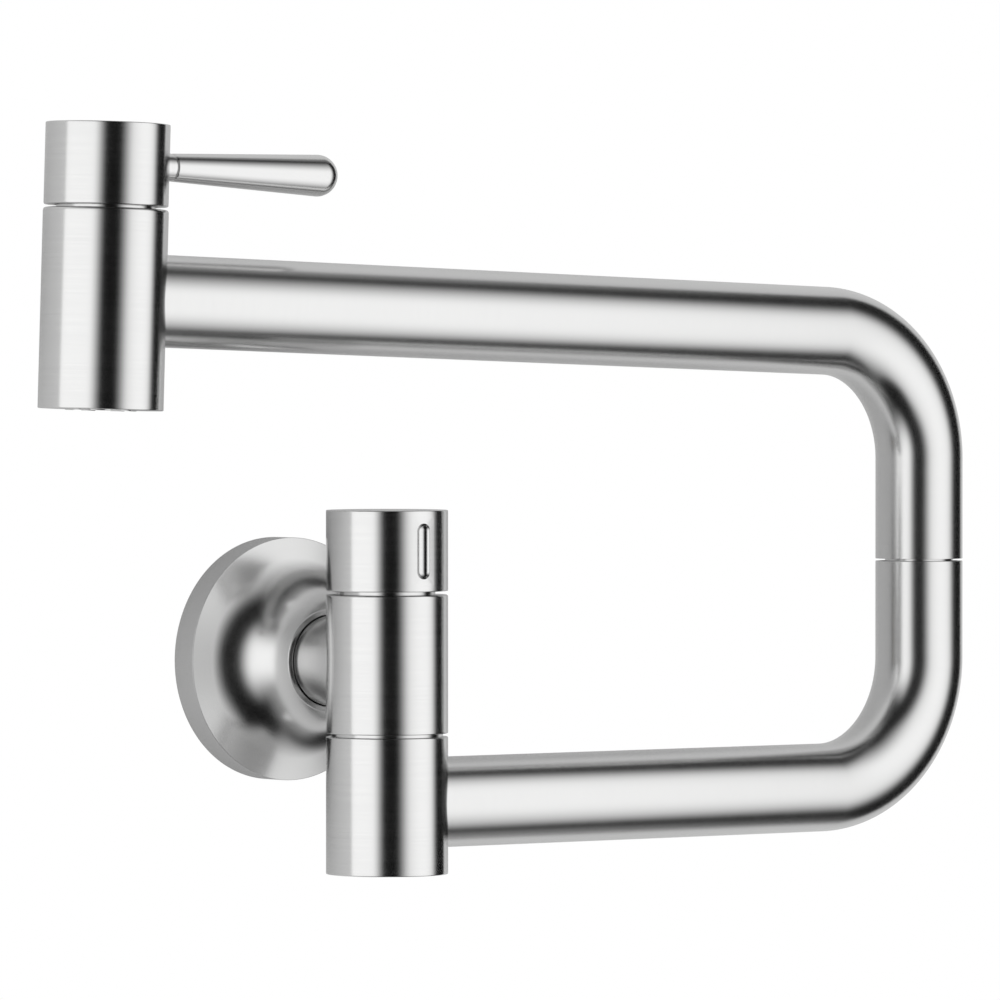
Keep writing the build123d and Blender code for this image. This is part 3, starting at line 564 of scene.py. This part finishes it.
cloth = bpy.data.materials.new("tent_cloth")
cloth.use_nodes = True
tree = cloth.node_tree
tree.nodes.remove(tree.nodes["Principled BSDF"])
tent_at, tent_r = (0.05, -0.06, 0.05), 0.95
place = Wire.node(tree, "ShaderNodeTexCoord", output="Object")
spot = Wire.node(tree, "ShaderNodeVectorMath", {"operation": "SUBTRACT"}, {0: place, 1: tent_at})
ways = (-gaze.x, -gaze.y, 0), (gaze.y, -gaze.x, 0), (0, 0, 1 / tent_r), (0, 1, 0)
towards, beside, above, behind = (
    Wire.node(tree, "ShaderNodeVectorMath", {"operation": "DOT_PRODUCT"}, {0: spot, 1: way}, "Value")
    for way in ways)
bearing = beside.maths("ARCTAN2", beside, towards) * np.degrees(1)
height = above.maths("ARCSINE", above, 0) * np.degrees(1)


def ramp_up(value, start, end):
    """A smooth step from nothing at the start to one at the end."""
    return Wire.node(value.socket.id_data, "ShaderNodeMapRange", {"interpolation_type": "SMOOTHSTEP"},
                     {"Value": value, "From Min": start, "From Max": end})


def panel(start, full, fading, end):
    """How much of a hanging panel shows at a bearing: it comes up from start to full and goes down to its end."""
    return ramp_up(bearing, start, full) * (1 - ramp_up(bearing, fading, end))


box_light, grey_light, strip_light, stray_light = 1.34, 0.66, 0.3, 0.004
broad_share, core_share, corner_cut = 0.8, 0.2, 35
left_box = panel(-104, -94, -28.5, -5.5) * (1 - ramp_up(height, 8, 56)) * ramp_up(height, -64, -10)
near_edge = bearing - (1 - ramp_up(height, -70, -30)) * corner_cut
right_box = ramp_up(near_edge, 15, 44) * (1 - ramp_up(bearing, 88, 108)) * broad_share
right_box = right_box + ramp_up(near_edge, 29, 64) * (1 - ramp_up(bearing, 75, 98)) * core_share
right_box = right_box * (1 - ramp_up(height, 18, 71)) * ramp_up(height, -88, -17)
greys = panel(150, 165, 200, 201) + panel(-202, -201, -104, -94)
strip = ramp_up(behind, -0.24, 0.06) * (ramp_up(height, 40, 60) + 1 - ramp_up(height, -60, -40))
light = (left_box + right_box) * box_light + greys * grey_light + strip * strip_light + stray_light
shine = Wire.node(tree, "ShaderNodeEmission", sockets={"Color": light})
tree.links.new(shine.socket, tree.nodes["Material Output"].inputs["Surface"])
rows, columns = 33, 64
tilt = np.linspace(-np.pi / 2, np.pi / 2, rows)
ball = tent_r * np.column_stack([np.cos(tilt), np.sin(tilt)])
shell = lathe(ball, tent_at, upright, columns)[0]
tent = add_stage("light_tent", shell, quads(rows, columns, closed=False), cloth)
tent.visible_camera = False
tent.visible_shadow = False

# Grey board: a card behind the tap, where the wall would be. The camera doesn't see it and it lights nothing, but
# the steel mirrors it. Its glow is painted light in place of a lit wall, and it carries painted shade, dimmer
# where the tap itself stands close.
shade_reach, shade_power, board_light = 0.15, 1.6, 0.73
card = bpy.data.materials.new("grey_card")
card.use_nodes = True
tree = card.node_tree
tree.nodes.remove(tree.nodes["Principled BSDF"])
# Painted shade: ambient occlusion scales the card's glow, so it dims near the tap.
open_sky = Wire.node(tree, "ShaderNodeAmbientOcclusion", {"samples": 8}, {"Distance": shade_reach}, "AO")
light = open_sky.maths("POWER", open_sky, shade_power) * board_light
shine = Wire.node(tree, "ShaderNodeEmission", sockets={"Color": light})
tree.links.new(shine.socket, tree.nodes["Material Output"].inputs["Surface"])
board_left, board_right, board_low, board_high, board_y = -0.318, 0.68, -0.55, 0.66, 0.025
corners = np.array([(board_left, board_y, board_low), (board_right, board_y, board_low),
                    (board_right, board_y, board_high), (board_left, board_y, board_high)])
board = add_stage("grey_board", corners, np.arange(4), card)
board.visible_camera = False
board.visible_shadow = False
board.visible_diffuse = False

# Floor: a disc of pale paper well below the tap. It keeps the tap's shadow, and to the camera it goes over into the
# white of the room towards its rim.
floor_at, floor_r, floor_columns = (0.06, 0, -0.42), 0.8, 96
fibre_scale, fade_from, fade_to, least_white = 300, 0.4, 0.95, 0.5
paper = bpy.data.materials.new("floor_paper")
paper.use_nodes = True
tree = paper.node_tree
place = Wire.node(tree, "ShaderNodeTexCoord", output="Object")
fibre = Wire.node(tree, "ShaderNodeTexNoise", sockets={"Vector": place, "Scale": fibre_scale, "Detail": 3})
tone = Wire.node(tree, "ShaderNodeMix", {"data_type": "RGBA"},
                 {0: fibre, 6: (0.86, 0.86, 0.86, 1), 7: (0.90, 0.90, 0.90, 1)}, output=2)
surface = tree.nodes["Principled BSDF"]
surface.inputs["Roughness"].default_value = 0.8
tree.links.new(tone.socket, surface.inputs["Base Color"])
radius = Wire.node(tree, "ShaderNodeVectorMath", {"operation": "DISTANCE"}, {0: place, 1: floor_at}, "Value")
fade = ramp_up(radius, floor_r * fade_from, floor_r * fade_to) * (1 - least_white) + least_white
seen = Wire.node(tree, "ShaderNodeLightPath", output="Is Camera Ray")
white_glow = Wire.node(tree, "ShaderNodeEmission")
mixed = Wire.node(tree, "ShaderNodeMixShader",
                  sockets={0: fade * seen, 1: Wire(surface.outputs[0]), 2: white_glow})
tree.links.new(mixed.socket, tree.nodes["Material Output"].inputs["Surface"])
disc = np.array([(0, 0), (floor_r * 0.5, 0), (floor_r, 0)])
sheet_of_paper = lathe(disc, floor_at, upright, floor_columns)[0]
floor = add_stage("pale_floor", sheet_of_paper, quads(len(disc), floor_columns, closed=False), paper)
floor.visible_glossy = False

# Room: plain white to the camera, to mirrors and through glass, and a little dimmer as a light, so that the floor
# keeps some shade.
room_light = 0.6
world = bpy.data.worlds.new("white_room")
bpy.context.scene.world = world
world.use_nodes = True
tree = world.node_tree
paths = tree.nodes.new("ShaderNodeLightPath").outputs
seen = Wire(paths["Is Camera Ray"]) + Wire(paths["Is Glossy Ray"]) + Wire(paths["Is Transmission Ray"])
seen = seen.maths("MINIMUM", seen, 1.0)
strength = seen * (1 - room_light) + room_light
tree.links.new(strength.socket, tree.nodes["Background"].inputs["Strength"])
tree.nodes["Background"].inputs["Color"].default_value = (1, 1, 1, 1)

bpy.context.view_layer.update()
